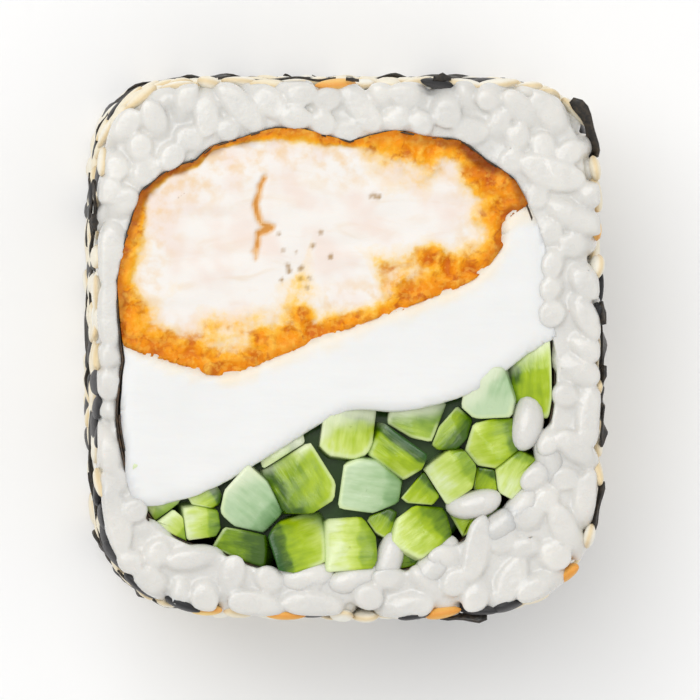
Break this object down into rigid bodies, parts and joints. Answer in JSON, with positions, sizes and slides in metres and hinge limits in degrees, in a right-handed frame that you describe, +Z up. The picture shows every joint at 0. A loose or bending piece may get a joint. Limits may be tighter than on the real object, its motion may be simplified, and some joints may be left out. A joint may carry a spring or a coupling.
{
  "type": "uramaki roll slice",
  "caption": "Slice of an inside-out sushi roll lying on its cut face: rice with sesame seeds round nori, fried chicken, cream cheese and cucumber.",
  "frame": {"origin": "under the middle of the slice, on the surface that it lies on", "axes": "+Z up, out of the cut face that shows; +Y from the cucumber to the chicken; +X to the right of that view"},
  "size_m": [0.0395, 0.0418, 0.0235],
  "materials": {
    "rice": "soft and sticky, slightly translucent cooked rice",
    "nori": "nearly black pressed seaweed with a low sheen",
    "fried_chicken": "golden fried crumb crust round pale moist meat",
    "cream_cheese": "smooth, creamy and nearly matte",
    "cucumber": "wet pale green flesh with darker green skin",
    "pale_sesame": "hulled seed, cream and waxy, some toasted golden",
    "black_sesame": "charcoal seed with fine ribs and a low gloss"
  },
  "bodies": {
    "root": {"rice": "rice", "nori_wrap": "nori", "fried_chicken": "fried_chicken", "cream_cheese": "cream_cheese", "cucumber_sticks": "cucumber"}
  },
  "joints": []
}
